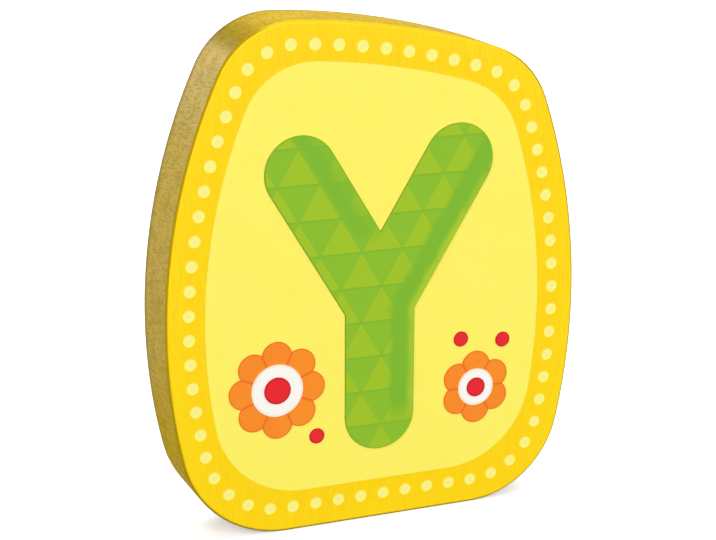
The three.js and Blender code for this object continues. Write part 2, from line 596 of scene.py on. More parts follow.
    def deliver(self) -> bpy.types.Object:
        """Shades the piece and turns its millimetres into metres.

        Returns:
            The finished piece, at the origin and unscaled.
        """
        self.take()
        bpy.ops.object.shade_smooth_by_angle(angle=self.smooth_angle)
        self.modify("WEIGHTED_NORMAL", mode="FACE_AREA", keep_sharp=True)
        self.piece.scale = (MM, MM, MM)
        bpy.ops.object.transform_apply(location=False, rotation=False, scale=True)
        return self.piece


# Shader nodes


class Effect(Enum):
    """Effects that several finishes share."""

    WOOD_GRAIN = "wood_grain"
    FILM_SURFACE = "film_surface"
    STROKE_SHADE = "stroke_shade"


class NodeSheet:
    """Writes one node tree; an input takes a value or another node's socket."""

    def __init__(self, tree: bpy.types.NodeTree) -> None:
        """Keeps the tree that the nodes go into."""
        self.tree = tree

    def feed(self, socket: Socket, value: Feed) -> None:
        """Links a socket to an input, or writes a value on it.

        Args:
            socket: The socket that takes the value.
            value: The value, or the socket that gives it.
        """
        if isinstance(value, bpy.types.NodeSocket):
            self.tree.links.new(value, socket)
        else:
            socket.default_value = value

    def add(
        self, kind: str, inputs: Mapping[str | int, Feed] | None = None, **settings: object
    ) -> bpy.types.Node:
        """Adds a node.

        Args:
            kind: Type of the node.
            inputs: Values or sockets for its inputs.
            settings: Its own settings.

        Returns:
            The new node.
        """
        node = self.tree.nodes.new(kind)
        for setting, value in settings.items():
            setattr(node, setting, value)
        for key, value in (inputs or {}).items():
            self.feed(node.inputs[key], value)
        return node

    def math(self, operation: str, *values: Feed, clamp: bool = False) -> Socket:
        """Adds a sum, product or other arithmetic.

        Args:
            operation: Kind of arithmetic.
            values: What it works on.
            clamp: Whether the result is kept from zero to one.

        Returns:
            The result.
        """
        inputs = dict(enumerate(values))
        node = self.add("ShaderNodeMath", inputs, operation=operation, use_clamp=clamp)
        return node.outputs[0]

    def both(self, first: Feed, second: Feed) -> Socket:
        """Multiplies two masks, or a mask and its share."""
        return self.math("MULTIPLY", first, second)

    def either(self, first: Feed, second: Feed) -> Socket:
        """Gives the stronger of two masks."""
        return self.math("MAXIMUM", first, second)

    def millimetres(self) -> Socket:
        """Gives the place on the piece, in millimetres."""
        place = self.add("ShaderNodeTexCoord").outputs["Object"]
        return self.mapped(place, scale=(PER_MM, PER_MM, PER_MM))

    def mapped(
        self,
        place: Feed,
        scale: Triple = (1.0, 1.0, 1.0),
        turn: Triple = (0.0, 0.0, 0.0),
        shift: Triple = (0.0, 0.0, 0.0),
    ) -> Socket:
        """Shifts, turns and stretches a place."""
        inputs = {"Vector": place, "Scale": scale, "Rotation": turn, "Location": shift}
        return self.add("ShaderNodeMapping", inputs).outputs[0]

    def parts(self, place: Feed) -> tuple[Socket, ...]:
        """Splits a place or a direction into its three coordinates."""
        return tuple(self.add("ShaderNodeSeparateXYZ", {0: place}).outputs)

    def ease(self, value: Feed, start: float, end: float) -> Socket:
        """Changes smoothly from zero at one value to one at another.

        Args:
            value: The value that is read.
            start: Where the result is zero.
            end: Where the result is one, above or below the start.

        Returns:
            The eased value.
        """
        if start > end:
            return self.math("SUBTRACT", 1.0, self.ease(value, end, start))
        inputs = {"Value": value, "From Min": start, "From Max": end}
        node = self.add("ShaderNodeMapRange", inputs, interpolation_type="SMOOTHSTEP")
        return node.outputs["Result"]

    def between(self, value: Feed, rise: Span, fall: Span) -> Socket:
        """Gives one between a rise and a fall, and zero outside them."""
        return self.both(self.ease(value, *rise), self.ease(value, *fall))

    def spread(self, value: Feed, low: float, high: float) -> Socket:
        """Maps zero to one onto a low and a high value."""
        inputs = {"Value": value, "To Min": low, "To Max": high}
        return self.add("ShaderNodeMapRange", inputs).outputs["Result"]

    def stray(self, value: Feed, noise: Feed, reach: float) -> Socket:
        """Moves a distance to and fro with a noise, by as much as a reach."""
        return self.math("ADD", value, self.spread(noise, -reach, reach))

    def blend(self, share: Feed, first: Feed, second: Feed) -> Socket:
        """Mixes two colours; a share of one gives the second."""
        node = self.add("ShaderNodeMix", {0: share, 6: first, 7: second}, data_type="RGBA")
        return node.outputs[2]

    def tint(self, base: Feed, colour: Feed, mask: Feed, share: Feed) -> Socket:
        """Lays a colour over another, by a share of a mask."""
        return self.blend(self.both(mask, share), base, colour)

    def attribute(self, name: str) -> Socket:
        """Reads a number that is written on the mesh."""
        return self.add("ShaderNodeAttribute", attribute_name=name).outputs["Fac"]


@dataclass(frozen=True)
class Mottle:
    """Soft noise from zero to one, mostly near a half unless it is eased over a span."""

    scale: float | Triple
    detail: float = 2.0
    roughness: float = 0.5
    span: Span | None = None

    def write(self, sheet: NodeSheet, place: Feed) -> Socket:
        """Writes the noise.

        Args:
            sheet: The node tree that it goes into.
            place: Place on the piece, in millimetres.

        Returns:
            The noise.
        """
        inputs = {"Vector": place, "Scale": self.scale}
        if isinstance(self.scale, tuple):
            inputs = {"Vector": sheet.mapped(place, scale=self.scale), "Scale": 1.0}
        inputs |= {"Detail": self.detail, "Roughness": self.roughness}
        noise = sheet.add("ShaderNodeTexNoise", inputs).outputs["Fac"]
        return noise if self.span is None else sheet.ease(noise, *self.span)


class SharedEffect(ABC):
    """A node group that is built once and placed in each finish that uses it."""

    effect: Effect
    outputs: tuple[str, ...]

    def tree(self) -> bpy.types.NodeTree:
        """Builds the group the first time, and finds it after that.

        Returns:
            The group.
        """
        name = self.effect.value
        if name in bpy.data.node_groups:
            return bpy.data.node_groups[name]
        group = bpy.data.node_groups.new(name, "ShaderNodeTree")
        group.interface.new_socket("Place", in_out="INPUT", socket_type="NodeSocketVector")
        for output in self.outputs:
            group.interface.new_socket(output, in_out="OUTPUT", socket_type="NodeSocketFloat")
        sheet = NodeSheet(group)
        entry = sheet.add("NodeGroupInput").outputs["Place"]
        sheet.add("NodeGroupOutput", self.write(sheet, entry))
        return group

    @abstractmethod
    def write(self, sheet: NodeSheet, place: Socket) -> dict[str, Feed]:
        """Writes the group's nodes.

        Args:
            sheet: The group's node tree.
            place: Place on the piece, in millimetres.

        Returns:
            The socket for each of the group's outputs.
        """

    def put(self, sheet: NodeSheet, place: Feed) -> bpy.types.bpy_prop_collection:
        """Places the group in a finish.

        Args:
            sheet: The finish's node tree.
            place: Place on the piece, in millimetres.

        Returns:
            The group's outputs.
        """
        node = sheet.add("ShaderNodeGroup", node_tree=self.tree())
        sheet.feed(node.inputs["Place"], place)
        return node.outputs


class WoodGrain(SharedEffect):
    """Upright grain of the board's wood: broad bands, fine fibres and short pores."""

    effect = Effect.WOOD_GRAIN
    sway = Mottle((0.05, 0.05, 0.03))
    sway_reach = 6.0
    layers = {
        "Bands": Mottle((0.55, 0.3, 0.016), 3.0, 0.62, (0.34, 0.68)),
        "Fibres": Mottle((4.5, 2.0, 0.13), 4.0, 0.65, (0.32, 0.68)),
        "Pores": Mottle((3.4, 3.0, 0.5), 1.0, span=(0.66, 0.78)),
    }
    outputs = tuple(layers)

    def write(self, sheet: NodeSheet, place: Socket) -> dict[str, Feed]:
        """Stretches noise along the height and lets it sway.

        Args:
            sheet: The group's node tree.
            place: Place on the piece, in millimetres.

        Returns:
            The three layers of the grain.
        """
        across, depth, height = sheet.parts(place)
        swayed = sheet.stray(across, self.sway.write(sheet, place), self.sway_reach)
        lined = sheet.add("ShaderNodeCombineXYZ", {0: swayed, 1: depth, 2: height}).outputs[0]
        return {name: layer.write(sheet, lined) for name, layer in self.layers.items()}


class FilmSurface(SharedEffect):
    """Surface of a film of lacquer: soft clouds of colour, and a very fine ripple."""

    effect = Effect.FILM_SURFACE
    layers = {
        "Cloud": Mottle(0.16, 3.0, 0.6, (0.3, 0.7)),
        "Ripple": Mottle(2.6, 3.0, 0.55),
    }
    outputs = tuple(layers)

    def write(self, sheet: NodeSheet, place: Socket) -> dict[str, Feed]:
        """Lays a broad noise and a fine one."""
        return {name: layer.write(sheet, place) for name, layer in self.layers.items()}


@dataclass(frozen=True)
class LetterSizes:
    """Sizes of the letter: three strokes with round ends that meet at the fork."""

    stroke: float = 10.25
    arm: float = 22.0
    splay: float = math.radians(31.3)
    stem: float = 16.2
    fork_height: float = 31.6
    shift: float = 0.32
    facet_width: float = 6.0
    facet_height: float = 4.98
    facet_line: float = 0.24
    facet_rise: float = 2.25
    facet_shift: float = 0.21
    rim: float = 0.2
    smallest_facet: float = 0.6

    def stretches(self, inset: float) -> list[Stretch]:
        """Gives the letter's outline, drawn thinner all round.

        Args:
            inset: Distance inwards from the letter's edge, in millimetres.

        Returns:
            Stretches from the left shoulder, anticlockwise.
        """
        half = self.stroke / 2 - inset
        arm_x, arm_z = self.arm * math.sin(self.splay), self.arm * math.cos(self.splay)
        fork, middle = self.fork_height, self.shift
        shoulder = fork - half * math.tan(self.splay / 2)
        crotch = Vector((middle, fork + half / math.sin(self.splay)))
        stem_end = Bow(Vector((middle, fork - self.stem)), half, HALF_TURN, FULL_TURN)
        right_end, left_end = (
            Bow(Vector((middle + way * arm_x, fork + arm_z)), half, first, first + HALF_TURN)
            for way, first in ((1.0, -self.splay), (-1.0, self.splay))
        )
        left_shoulder = Vector((middle - half, shoulder))
        right_shoulder = Vector((middle + half, shoulder))
        return [
            Straight(left_shoulder, stem_end.at(0.0)),
            stem_end,
            Straight(stem_end.at(stem_end.length), right_shoulder),
            Straight(right_shoulder, right_end.at(0.0)),
            right_end,
            Straight(right_end.at(right_end.length), crotch),
            Straight(crotch, left_end.at(0.0)),
            left_end,
            Straight(left_end.at(left_end.length), left_shoulder),
        ]

    def facet_stretches(self, apex: Vector) -> list[Stretch]:
        """Gives one upright triangle, drawn smaller so that a line stays open around it.

        Args:
            apex: Its apex before it is drawn smaller.

        Returns:
            Stretches from the apex, anticlockwise.
        """
        half_apex = math.atan2(self.facet_width / 2, self.facet_height)
        inset = self.facet_line / 2
        top = apex - Vector((0.0, inset / math.sin(half_apex)))
        rise = self.facet_height - inset - inset / math.sin(half_apex)
        left = top + rise * Vector((-math.tan(half_apex), -1.0))
        right = top + rise * Vector((math.tan(half_apex), -1.0))
        return [Straight(top, left), Straight(left, right), Straight(right, top)]


class StrokeShade(SharedEffect):
    """Soft shade along the right side of each of the letter's strokes, and light at two edges.

    Spans across a stroke count from its middle line to the right. The other spans count from
    the fork, to the right or upwards. All are in millimetres.
    """

    effect = Effect.STROKE_SHADE
    outputs = ("Shade", "Rim")
    sizes = LetterSizes()
    waver = Mottle(0.35)
    waver_reach = 0.45
    shade_rise = (1.1, 2.2)
    shade_end = 4.9
    left_fall = (0.36, 2.6)
    right_fall = (0.1, 3.6)
    stem_fall = (0.3, 3.6)
    left_arm_across = (1.2, -0.8)
    left_arm_up = (8.0, 10.5)
    right_arm_across = (-0.5, 1.0)
    right_arm_up = (-2.6, -0.6)
    lower_arm_up = (15.0, 9.0)
    stem_top = (0.4, -1.6)
    stem_foot = (-18.6, -14.5)
    right_rim = (3.6, 4.9)
    stem_rim = (3.7, 5.0)

    def across(self, sheet: NodeSheet, place: Feed, direction: Vector) -> Socket:
        """Gives the distance to the right of a stroke's middle line.

        Args:
            sheet: The group's node tree.
            place: Place from the fork, in millimetres.
            direction: Direction to the stroke's right side.

        Returns:
            The distance, in millimetres.
        """
        inputs = {0: place, 1: (direction.x, 0.0, direction.y)}
        node = sheet.add("ShaderNodeVectorMath", inputs, operation="DOT_PRODUCT")
        return node.outputs["Value"]

    def band(self, sheet: NodeSheet, across: Feed, at_edge: float, fall_from: float) -> Socket:
        """Gives the shade across one stroke.

        Args:
            sheet: The group's node tree.
            across: Distance to the right of the stroke's middle line.
            at_edge: Shade that is left at the stroke's edge.
            fall_from: Distance at which the shade begins to fall.

        Returns:
            The shade, from zero to one.
        """
        fall = sheet.ease(across, self.shade_end, fall_from)
        return sheet.both(sheet.ease(across, *self.shade_rise), sheet.spread(fall, at_edge, 1.0))

    def write(self, sheet: NodeSheet, place: Socket) -> dict[str, Feed]:
        """Shades the two arms and the stem, each in its own part of the letter.

        Args:
            sheet: The group's node tree.
            place: Place on the piece, in millimetres.

        Returns:
            The shade, and the light at the edges.
        """
        sizes = self.sizes
        lean = Vector((math.cos(sizes.splay), math.sin(sizes.splay)))
        from_fork = sheet.mapped(place, shift=(-sizes.shift, 0.0, -sizes.fork_height))
        away, _, height = sheet.parts(from_fork)
        waver = self.waver.write(sheet, place)
        left, right, stem = (
            sheet.stray(self.across(sheet, from_fork, direction), waver, self.waver_reach)
            for direction in (lean, Vector((lean.x, -lean.y)), Vector((1.0, 0.0)))
        )
        on_left, on_right = (
            sheet.both(sheet.ease(away, *across), sheet.ease(height, *up))
            for across, up in (
                (self.left_arm_across, self.left_arm_up),
                (self.right_arm_across, self.right_arm_up),
            )
        )
        on_stem = sheet.between(height, self.stem_top, self.stem_foot)
        left_shade = sheet.both(self.band(sheet, left, *self.left_fall), on_left)
        right_shade = sheet.both(self.band(sheet, right, *self.right_fall), on_right)
        stem_shade = sheet.both(self.band(sheet, stem, *self.stem_fall), on_stem)
        shade = sheet.either(left_shade, sheet.either(right_shade, stem_shade))
        on_lower = sheet.both(on_right, sheet.ease(height, *self.lower_arm_up))
        right_rim = sheet.both(sheet.ease(right, *self.right_rim), on_lower)
        stem_rim = sheet.both(sheet.ease(stem, *self.stem_rim), on_stem)
        return {"Shade": shade, "Rim": sheet.either(right_rim, stem_rim)}


# Finishes


@dataclass(frozen=True)
class Finish(ABC):
    """A finish: its material slot, how rough and glossy it is, and its relief in metres."""

    name: str
    slot: str
    roughness: float
    specular: float = 0.18
    relief: float = 0.000012

    @abstractmethod
    def colour(self, sheet: NodeSheet, place: Feed) -> Socket:
        """Writes the nodes that give the colour.

        Args:
            sheet: The material's node tree.
            place: Place on the piece, in millimetres.

        Returns:
            The colour.
        """

    @abstractmethod
    def surface(self, sheet: NodeSheet, place: Feed) -> tuple[Feed, Feed]:
        """Writes the nodes that give the surface.

        Args:
            sheet: The material's node tree.
            place: Place on the piece, in millimetres.

        Returns:
            Roughness, and height from zero to one.
        """

    def material(self) -> bpy.types.Material:
        """Builds the finish the first time, and finds it after that.

        Returns:
            The finish as a material.
        """
        if self.name in bpy.data.materials:
            return bpy.data.materials[self.name]
        material = bpy.data.materials.new(self.name)
        material.use_nodes = True
        sheet = NodeSheet(material.node_tree)
        shader = material.node_tree.nodes["Principled BSDF"]
        place = sheet.millimetres()
        roughness, height = self.surface(sheet, place)
        relief = {"Height": height, "Strength": 1.0, "Distance": self.relief}
        bump = sheet.add("ShaderNodeBump", relief)
        sheet.feed(shader.inputs["Base Color"], self.colour(sheet, place))
        sheet.feed(shader.inputs["Roughness"], roughness)
        sheet.feed(shader.inputs["Normal"], bump.outputs["Normal"])
        shader.inputs["Specular IOR Level"].default_value = self.specular
        return material

    def dress(self, piece: bpy.types.Object) -> None:
        """Gives a piece this finish.

        Args:
            piece: The finished piece.
        """
        piece.data.materials.clear()
        piece.data.materials.append(self.material())


@dataclass(frozen=True)
class StainedWood(Finish):
    """Bare board wood under a thin yellow stain, with lacquer run over the front edge.

    A span gives the two ends of a soft change: heights for the brown and the paler wood and for
    the painted highlight on the front edge's lacquer, depths for the back face, the painted
    shade on the back's edge and the lacquer's lap, and for the sides and the rise and fall of
    the painted corner shade how far the surface looks up, from zero to one.
    """

    golden: Colour = linear(221, 182, 8)
    tan: Colour = linear(222, 194, 112)
    pale_tan: Colour = linear(233, 204, 130)
    # Painted shade: a darker stain laid where the edge turns from the sides to the top.
    painted_corner_shade: Colour = linear(134, 114, 8)
    dark_streak: Colour = linear(148, 120, 22)
    pale_streak: Colour = linear(242, 209, 36)
    olive: Colour = linear(176, 157, 26)
    orange: Colour = linear(222, 164, 48)
    # Lacquer on the eased front edge: a darker gold that is a dark edge line and painted shade,
    # and a paler gold that is a painted highlight along the top.
    edge_line_and_shade_lacquer: Colour = linear(184, 150, 6)
    painted_highlight_lacquer: Colour = linear(248, 207, 34)
    # Painted shade: a dark band on the eased back edge.
    painted_back_edge_shade: Colour = linear(98, 88, 46)
    back_pale: Colour = linear(252, 230, 164)
    back_stain: Colour = linear(240, 208, 120)
    back_fibre: Colour = linear(210, 172, 88)
    pore: Colour = linear(164, 124, 56)
    streak_tilt: float = math.radians(6.0)
    broad_streaks: Mottle = Mottle((2.4, 0.42, 2.4), 3.0, 0.6)
    fine_streaks: Mottle = Mottle((5.0, 0.9, 5.0), 3.0, 0.65)
    broad_share: float = 0.4
    streak_span: Span = (0.38, 0.62)
    dark_span: Span = (0.5, 0.0)
    dark_share: float = 0.38
    pale_span: Span = (0.5, 1.0)
    pale_share: float = 0.35
    olive_spots: Mottle = Mottle(0.42, 3.0, 0.6, (0.46, 0.72))
    olive_share: float = 0.40
    orange_spots: Mottle = Mottle(0.5, 3.0, 0.6, (0.5, 0.75))
    orange_shift: Triple = (31.0, 7.0, 5.0)
    orange_share: float = 0.34
    drift: Mottle = Mottle(0.12)
    drift_reach: float = 6.0
    low_brown: Span = (12.0, 34.0)
    low_share: float = 0.7
    high_brown: Span = (46.0, 57.0)
    pale_heights: Span = (56.0, 65.0)
    sides: Span = (0.84, 0.66)
    # Painted corner shade: where it rises and falls with how far the surface looks up, and its
    # share from left to right.
    corner_shade_rise: Span = (0.56, 0.78)
    corner_shade_fall: Span = (1.035, 0.81)
    corner_shade_across: Span = (-10.0, 10.0)
    corner_shade_shares: Span = (0.62, 0.34)
    back_face: Span = (4.8, 5.08)
    fibre_share: float = 0.38
    pore_share: float = 0.6
    # Depths of the painted shade on the back edge, and its share.
    back_edge_shade_rise: Span = (3.5, 4.9)
    back_edge_shade_fall: Span = (5.12, 5.06)
    back_edge_shade_share: float = 0.55
    ragged: Mottle = Mottle(1.4)
    ragged_reach: float = 0.08
    lacquer_lap: Span = (-4.4, -4.56)
    crown_fall: float = 0.149
    # Heights at which the front edge's lacquer turns to the painted highlight.
    painted_highlight_heights: Span = (66.4, 68.2)
    roughness_spread: Span = (0.08, -0.06)
    relief: float = 0.00002

    def edge_streaks(self, sheet: NodeSheet, place: Feed) -> Socket:
        """Writes the fine streaks that run across the board's thickness.

        Args:
            sheet: The material's node tree.
            place: Place on the piece, in millimetres.

        Returns:
            The streaks, from zero to one.
        """
        tilted = sheet.mapped(place, turn=(self.streak_tilt, 0.0, 0.0))
        broad = sheet.both(self.broad_streaks.write(sheet, tilted), self.broad_share)
        fine = sheet.both(self.fine_streaks.write(sheet, tilted), 1.0 - self.broad_share)
        return sheet.ease(sheet.math("ADD", broad, fine), *self.streak_span)

    def back_share(self, sheet: NodeSheet, place: Feed) -> Socket:
        """Gives one on the flat back and zero on the edge."""
        _, depth, _ = sheet.parts(place)
        return sheet.ease(depth, *self.back_face)

    @staticmethod
    def upward(sheet: NodeSheet) -> Socket:
        """Gives one where the surface looks straight up and zero where it is upright."""
        normal = sheet.add("ShaderNodeTexCoord").outputs["Normal"]
        return sheet.parts(normal)[2]

    def stain(self, sheet: NodeSheet, place: Feed) -> Socket:
        """Writes the stain: browner on the sides, palest near their top, else golden.

        Args:
            sheet: The material's node tree.
            place: Place on the piece, in millimetres.

        Returns:
            The stain's own colour.
        """
        _, _, height = sheet.parts(place)
        drifting = sheet.stray(height, self.drift.write(sheet, place), self.drift_reach)
        low = sheet.both(sheet.ease(drifting, *self.low_brown), self.low_share)
        browned = sheet.either(low, sheet.ease(drifting, *self.high_brown))
        side = sheet.blend(browned, self.golden, self.tan)
        side = sheet.blend(sheet.ease(drifting, *self.pale_heights), side, self.pale_tan)
        return sheet.blend(sheet.ease(self.upward(sheet), *self.sides), self.golden, side)

    def edge_colour(self, sheet: NodeSheet, place: Feed) -> Socket:
        """Streaks and mottles the board's edge, and darkens its upper corners with painted shade.

        Args:
            sheet: The material's node tree.
            place: Place on the piece, in millimetres.

        Returns:
            The edge's colour.
        """
        across, _, _ = sheet.parts(place)
        streaks = self.edge_streaks(sheet, place)
        moved = sheet.mapped(place, shift=self.orange_shift)
        edge = self.stain(sheet, place)
        for colour, mask, share in (
            (self.dark_streak, sheet.ease(streaks, *self.dark_span), self.dark_share),
            (self.pale_streak, sheet.ease(streaks, *self.pale_span), self.pale_share),
            (self.olive, self.olive_spots.write(sheet, place), self.olive_share),
            (self.orange, self.orange_spots.write(sheet, moved), self.orange_share),
        ):
            edge = sheet.tint(edge, colour, mask, share)
        # Painted shade: the upper corners, where the edge turns from side to top, get a darker
        # stain, stronger on the left.
        corner_shade_mask = sheet.between(self.upward(sheet), self.corner_shade_rise, self.corner_shade_fall)
        share = sheet.spread(sheet.ease(across, *self.corner_shade_across), *self.corner_shade_shares)
        return sheet.tint(edge, self.painted_corner_shade, corner_shade_mask, share)

    def back_colour(self, sheet: NodeSheet, place: Feed) -> Socket:
        """Draws upright grain and pores on the flat back.

        Args:
            sheet: The material's node tree.
            place: Place on the piece, in millimetres.

        Returns:
            The back's colour.
        """
        grain = WoodGrain().put(sheet, place)
        flat = sheet.blend(grain["Bands"], self.back_pale, self.back_stain)
        flat = sheet.tint(flat, self.back_fibre, grain["Fibres"], self.fibre_share)
        return sheet.tint(flat, self.pore, grain["Pores"], self.pore_share)

    def colour(self, sheet: NodeSheet, place: Feed) -> Socket:
        """Joins edge and back, paints shade on the back's edge and runs lacquer over the front
        one.

        Args:
            sheet: The material's node tree.
            place: Place on the piece, in millimetres.

        Returns:
            The colour.
        """
        across, depth, height = sheet.parts(place)
        edge, back = self.edge_colour(sheet, place), self.back_colour(sheet, place)
        wood = sheet.blend(self.back_share(sheet, place), edge, back)
        # Painted shade: a dark band along the eased back edge.
        back_edge_shade_mask = sheet.between(depth, self.back_edge_shade_rise, self.back_edge_shade_fall)
        wood = sheet.tint(wood, self.painted_back_edge_shade, back_edge_shade_mask, self.back_edge_shade_share)
        ragged = sheet.stray(depth, self.ragged.write(sheet, place), self.ragged_reach)
        # Painted highlight: the front edge's lacquer turns pale near the top; lower down its
        # darker gold is a dark edge line and painted shade.
        levelled = sheet.math("MULTIPLY_ADD", across, self.crown_fall, height)
        highlight_mask = sheet.ease(levelled, *self.painted_highlight_heights)
        lacquer = sheet.blend(highlight_mask, self.edge_line_and_shade_lacquer, self.painted_highlight_lacquer)
        return sheet.blend(sheet.ease(ragged, *self.lacquer_lap), wood, lacquer)

    def surface(self, sheet: NodeSheet, place: Feed) -> tuple[Feed, Feed]:
        """Roughens the streaks and opens the pores.

        Args:
            sheet: The material's node tree.
            place: Place on the piece, in millimetres.

        Returns:
            Roughness, and height from zero to one.
        """
        streaks = self.edge_streaks(sheet, place)
        grain = WoodGrain().put(sheet, place)
        share = self.back_share(sheet, place)
        on_back = sheet.both(sheet.math("SUBTRACT", grain["Fibres"], grain["Pores"]), share)
        on_edge = sheet.both(streaks, sheet.math("SUBTRACT", 1.0, share))
        height = sheet.math("ADD", on_back, on_edge)
        low, high = (self.roughness + change for change in self.roughness_spread)
        return sheet.spread(height, low, high), height


@dataclass(frozen=True)
class Lacquer(Finish):
    """A film of satin toy lacquer in one printed colour, with a darker line at its rim."""

    main: Colour = PURE_WHITE
    cloud: Colour = PURE_WHITE
    rim: Colour | None = None
    rim_span: Span = (0.15, 0.85)
    cloud_share: float = 0.5
    grain_share: float = 0.1
    roughness_spread: Span = (-0.04, 0.05)

    def colour(self, sheet: NodeSheet, place: Feed) -> Socket:
        """Clouds the printed colour and lets a trace of the grain through.

        Args:
            sheet: The material's node tree.
            place: Place on the piece, in millimetres.

        Returns:
            The colour.
        """
        film = FilmSurface().put(sheet, place)
        grain = WoodGrain().put(sheet, place)
        clouds = sheet.both(film["Cloud"], self.cloud_share)
        fibres = sheet.both(grain["Fibres"], self.grain_share)
        share = sheet.math("ADD", clouds, fibres, clamp=True)
        printed = sheet.blend(share, self.main, self.cloud)
        if self.rim is None:
            return printed
        return sheet.blend(sheet.ease(sheet.attribute("rim"), *self.rim_span), printed, self.rim)

    def surface(self, sheet: NodeSheet, place: Feed) -> tuple[Feed, Feed]:
        """Ripples the film and lets its gloss vary a little.

        Args:
            sheet: The material's node tree.
            place: Place on the piece, in millimetres.

        Returns:
            Roughness, and height from zero to one.
        """
        film = FilmSurface().put(sheet, place)
        low, high = (self.roughness + change for change in self.roughness_spread)
        return sheet.spread(film["Cloud"], low, high), film["Ripple"]


@dataclass(frozen=True)
class GoldenLacquer(Lacquer):
    """The border's golden film: brighter at the board's edge, with the wood's grain below."""

    bright: Colour = linear(255, 223, 14)
    deep: Colour = linear(255, 217, 9)
    fibre: Colour = linear(250, 202, 8)
    fleck: Colour = linear(242, 192, 6)
    outline: TileOutline = TileOutline()
    rounding: float = 9.0
    edge_span: Span = (-0.8, 4.6)
    band_share: float = 0.30
    fibre_share: float = 0.52
    fleck_share: float = 0.50
    cloud_share: float = 0.18

    def edge_distance(self, sheet: NodeSheet, place: Feed) -> Socket:
        """Writes the distance inwards from the board's three swelling sides and its foot.

        Args:
            sheet: The material's node tree.
            place: Place on the piece, in millimetres.

        Returns:
            The distance, in millimetres, rounded in the corners.
        """
        across, _, height = sheet.parts(place)
        flat = sheet.add("ShaderNodeCombineXYZ", {0: across, 1: 0.0, 2: height}).outputs[0]
        nearest = height
        for side in (self.outline.left, self.outline.right, self.outline.top):
            inputs = {0: flat, 1: (side.centre.x, 0.0, side.centre.y)}
            far = sheet.add("ShaderNodeVectorMath", inputs, operation="DISTANCE").outputs["Value"]
            inside = sheet.math("SUBTRACT", side.radius, far)
            nearest = sheet.math("SMOOTH_MIN", nearest, inside, self.rounding)
        return nearest

    def colour(self, sheet: NodeSheet, place: Feed) -> Socket:
        """Deepens the gold towards the panel and draws the grain faintly.

        Args:
            sheet: The material's node tree.
            place: Place on the piece, in millimetres.

        Returns:
            The colour.
        """
        film = FilmSurface().put(sheet, place)
        grain = WoodGrain().put(sheet, place)
        inwards = sheet.ease(self.edge_distance(sheet, place), *self.edge_span)
        gold = sheet.blend(inwards, self.bright, self.deep)
        for colour, mask, share in (
            (self.deep, grain["Bands"], self.band_share),
            (self.fibre, grain["Fibres"], self.fibre_share),
            (self.fleck, grain["Pores"], self.fleck_share),
            (self.deep, film["Cloud"], self.cloud_share),
        ):
            gold = sheet.tint(gold, colour, mask, share)
        return gold


@dataclass(frozen=True)
class DotLacquer(Lacquer):
    """The cream base coat: each dot is lemon at its rim and a little greyer in its middle."""

    middle: Colour = linear(247, 240, 150)
    rim_span: Span = (0.1, 0.7)
    cloud_share: float = 0.2

    def colour(self, sheet: NodeSheet, place: Feed) -> Socket:
        """Fades each dot from its rim to its middle.

        Args:
            sheet: The material's node tree.
            place: Place on the piece, in millimetres.

        Returns:
            The colour.
        """
        film = FilmSurface().put(sheet, place)
        rim = sheet.ease(sheet.attribute("rim"), *self.rim_span)
        dot = sheet.blend(rim, self.middle, self.main)
        return sheet.tint(dot, self.cloud, film["Cloud"], self.cloud_share)


@dataclass(frozen=True)
class LetterLacquer(Lacquer):
    """A green film of the letter, shaded along the right side of each stroke."""

    shade: Colour = linear(122, 181, 43)
    glow: Colour = linear(168, 202, 44)
    shade_share: float = 0.95
    glow_share: float = 0.85
    facet_share: float = 0.5
    sizes: LetterSizes = LetterSizes()

    def pattern(self, sheet: NodeSheet, place: Feed, green: Feed) -> Socket:
        """Draws this film's part of the triangles over its green."""
        return sheet.tint(green, self.glow, sheet.attribute("facet_edge"), self.facet_share)

    def colour(self, sheet: NodeSheet, place: Feed) -> Socket:
        """Lays the strokes' shade and their light rim over the clouded green.

        Args:
            sheet: The material's node tree.
            place: Place on the piece, in millimetres.

        Returns:
            The colour.
        """
        film = FilmSurface().put(sheet, place)
        strokes = StrokeShade().put(sheet, place)
        green = sheet.tint(self.main, self.cloud, film["Cloud"], self.cloud_share)
        green = self.pattern(sheet, place, green)
        green = sheet.tint(green, self.shade, strokes["Shade"], self.shade_share)
        green = sheet.tint(green, self.glow, strokes["Rim"], self.glow_share)
        if self.rim is None:
            return green
        return sheet.blend(sheet.attribute("rim"), green, self.rim)


@dataclass(frozen=True)
class LatticeLacquer(LetterLacquer):
    """The letter's darker film, with a thin line under each row of triangles."""

    row_line: Colour = linear(116, 168, 36)
    row_drop: float = 0.5
    line_rise: Span = (0.15, 0.4)
    line_fall: Span = (0.75, 0.6)
    line_share: float = 0.3

    def pattern(self, sheet: NodeSheet, place: Feed, green: Feed) -> Socket:
        """Draws the thin lines, one at the foot of each row.

        Args:
            sheet: The material's node tree.
            place: Place on the piece, in millimetres.
            green: The film's green.

        Returns:
            The green with its lines.
        """
        sizes = self.sizes
        _, _, height = sheet.parts(place)
        first_row = sizes.fork_height + sizes.facet_rise - self.row_drop
        rows = sheet.math("DIVIDE", sheet.math("SUBTRACT", height, first_row), sizes.facet_height)
        above = sheet.both(sheet.math("FRACT", rows), sizes.facet_height)
        line = sheet.between(above, self.line_rise, self.line_fall)
        return sheet.tint(green, self.row_line, line, self.line_share)


